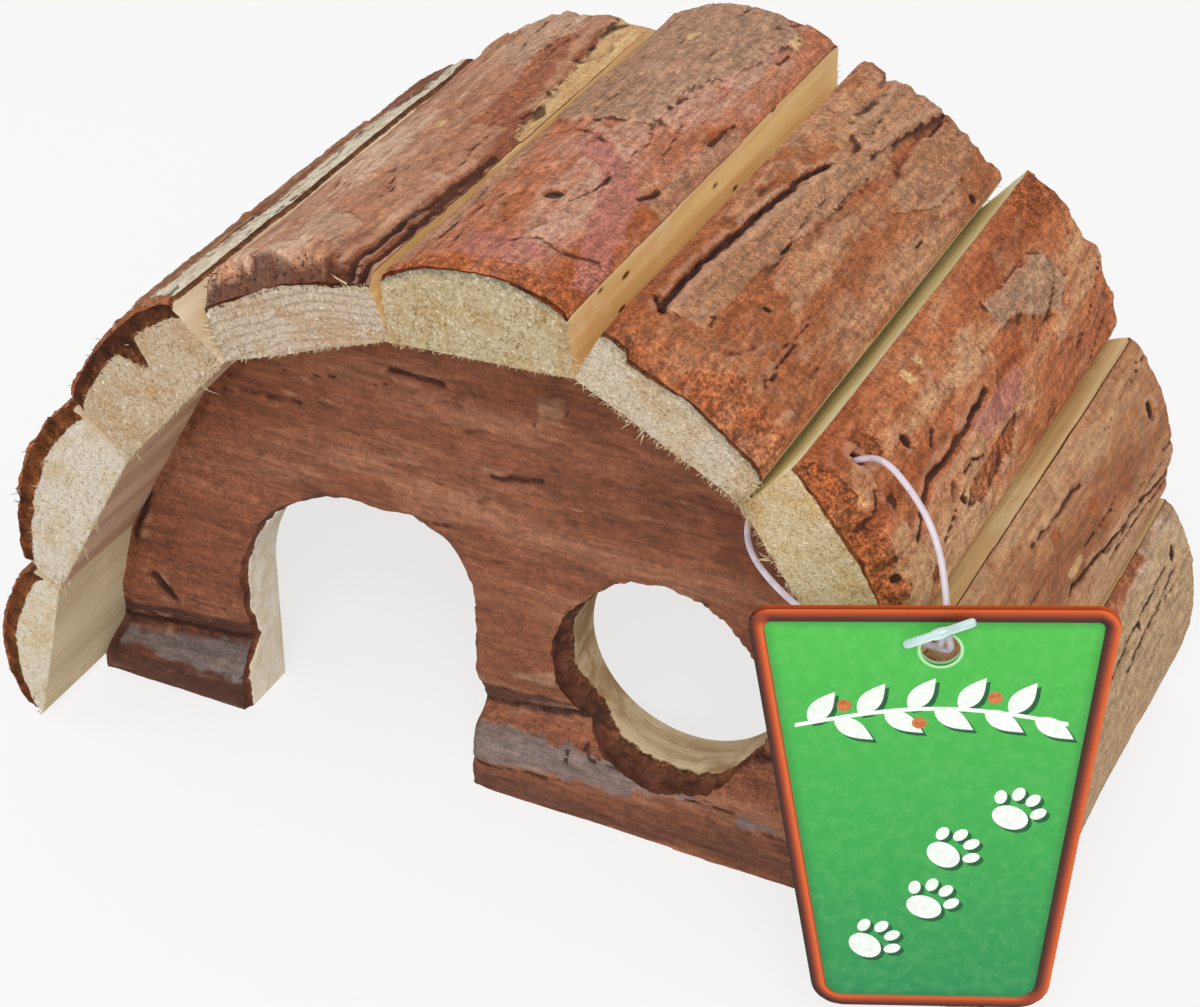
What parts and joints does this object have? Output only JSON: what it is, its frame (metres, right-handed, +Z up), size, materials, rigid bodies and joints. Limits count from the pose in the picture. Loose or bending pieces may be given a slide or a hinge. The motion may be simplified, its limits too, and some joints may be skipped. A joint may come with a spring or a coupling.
{
  "type": "rodent house",
  "caption": "Small half-round wooden hideout for a rodent: bark slabs nailed over two arched boards, with an open door, a round window and a hang tag on a nylon loop.",
  "frame": {"origin": "middle of the house's footprint, on the surface that it stands on", "axes": "+X along the arch's width, to the right as seen from the door; +Y from the door to the back; +Z up"},
  "size_m": [0.1584, 0.0968, 0.0929],
  "materials": {
    "bark_slab": "rough red-brown bark over pale sawn wood",
    "bark_board": "smooth red-brown bark face with pale cut edges",
    "nail_steel": "dull wire-nail steel, darkened heads",
    "tag_card": "laminated printed card, green with a copper border",
    "nylon_bar": "translucent moulded nylon",
    "nylon_line": "translucent drawn nylon line"
  },
  "bodies": {
    "house": {"slat_1": "bark_slab", "slat_2": "bark_slab", "slat_3": "bark_slab", "slat_4": "bark_slab", "slat_5": "bark_slab", "slat_6": "bark_slab", "slat_7": "bark_slab", "slat_8": "bark_slab", "slat_9": "bark_slab", "front_board": "bark_board", "rear_board": "bark_board", "front_nails": "nail_steel", "rear_nails": "nail_steel", "tag_bar": "nylon_bar", "tag_loop": "nylon_line"},
    "tag": {"hang_tag": "tag_card"}
  },
  "joints": [
    {"name": "tag_lift", "type": "hinge", "parent": "house", "child": "tag", "pos_m": [0.0654, -0.0478, 0.064], "axis": [-0.9311, -0.3649, 0], "range_deg": [0, 45]}
  ]
}
